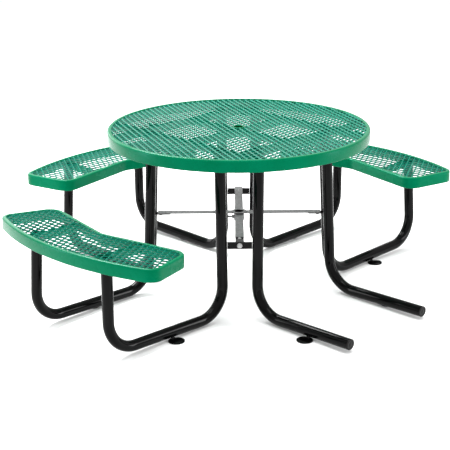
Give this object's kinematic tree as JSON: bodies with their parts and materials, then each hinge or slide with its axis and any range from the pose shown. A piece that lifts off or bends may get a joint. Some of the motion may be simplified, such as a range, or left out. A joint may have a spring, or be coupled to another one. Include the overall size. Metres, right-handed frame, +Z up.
{
  "type": "picnic table",
  "caption": "Round expanded-metal picnic table on bent tube frames, with curved bench seats on three sides, an open wheelchair side and an umbrella socket.",
  "frame": {"origin": "on the ground at the middle of the footprint's bounding box, under the top", "axes": "+Z up; +X towards the open side with no seat; the seats stand on -Y, -X and +Y"},
  "size_m": [1.926, 2.1184, 0.75],
  "materials": {
    "green_coated_bar": "thick glossy green thermoplastic coating over steel bar",
    "green_coated_grille": "thick glossy green thermoplastic coating over expanded steel",
    "black_powder_coat": "semi-gloss black powder coat",
    "plug_plastic": "moulded black plastic",
    "galvanised": "dull galvanised steel"
  },
  "bodies": {
    "table": {"front_frame_tube_1": "black_powder_coat", "front_ground_pad_1": "black_powder_coat", "front_frame_tube_2": "black_powder_coat", "front_ground_pad_2": "black_powder_coat", "front_seat_rim": "green_coated_bar", "front_seat_grille": "green_coated_grille", "front_seat_bar_1": "green_coated_bar", "front_seat_bar_2": "green_coated_bar", "left_frame_tube_1": "black_powder_coat", "left_ground_pad_1": "black_powder_coat", "left_frame_tube_2": "black_powder_coat", "left_ground_pad_2": "black_powder_coat", "left_seat_rim": "green_coated_bar", "left_seat_grille": "green_coated_grille", "left_seat_bar_1": "green_coated_bar", "left_seat_bar_2": "green_coated_bar", "back_frame_tube_1": "black_powder_coat", "back_ground_pad_1": "black_powder_coat", "back_frame_tube_2": "black_powder_coat", "back_ground_pad_2": "black_powder_coat", "back_seat_rim": "green_coated_bar", "back_seat_grille": "green_coated_grille", "back_seat_bar_1": "green_coated_bar", "back_seat_bar_2": "green_coated_bar", "open_side_frame_tube_1": "black_powder_coat", "open_side_end_plug_1": "plug_plastic", "open_side_ground_pad_1": "black_powder_coat", "open_side_frame_tube_2": "black_powder_coat", "open_side_end_plug_2": "plug_plastic", "open_side_ground_pad_2": "black_powder_coat", "top_rim": "green_coated_bar", "top_grille": "green_coated_grille", "umbrella_hub": "green_coated_bar", "top_bar_x_1": "green_coated_bar", "top_bar_x_2": "green_coated_bar", "top_bar_y_1": "green_coated_bar", "top_bar_y_2": "green_coated_bar", "top_spoke_front": "green_coated_bar", "top_spoke_left": "green_coated_bar", "top_spoke_back": "green_coated_bar", "top_spoke_open_side": "green_coated_bar", "crossbar_front_left": "black_powder_coat", "strap_bracket_front_left": "black_powder_coat", "bracket_bolt_front_left": "galvanised", "umbrella_strap_front_left": "galvanised", "crossbar_front_open": "black_powder_coat", "strap_bracket_front_open": "black_powder_coat", "bracket_bolt_front_open": "galvanised", "umbrella_strap_front_open": "galvanised", "crossbar_back_open": "black_powder_coat", "strap_bracket_back_open": "black_powder_coat", "bracket_bolt_back_open": "galvanised", "umbrella_strap_back_open": "galvanised", "crossbar_back_left": "black_powder_coat", "strap_bracket_back_left": "black_powder_coat", "bracket_bolt_back_left": "galvanised", "umbrella_strap_back_left": "galvanised", "umbrella_collar": "galvanised"},
    "clamp_screw": {"clamp_screw": "galvanised"}
  },
  "joints": [
    {"name": "clamp_screw_turn", "type": "hinge", "parent": "table", "child": "clamp_screw", "pos_m": [0.07145, -0.02475, 0.328], "axis": [0.7071, 0.7071, 0], "range_deg": [-1080, 432]}
  ]
}
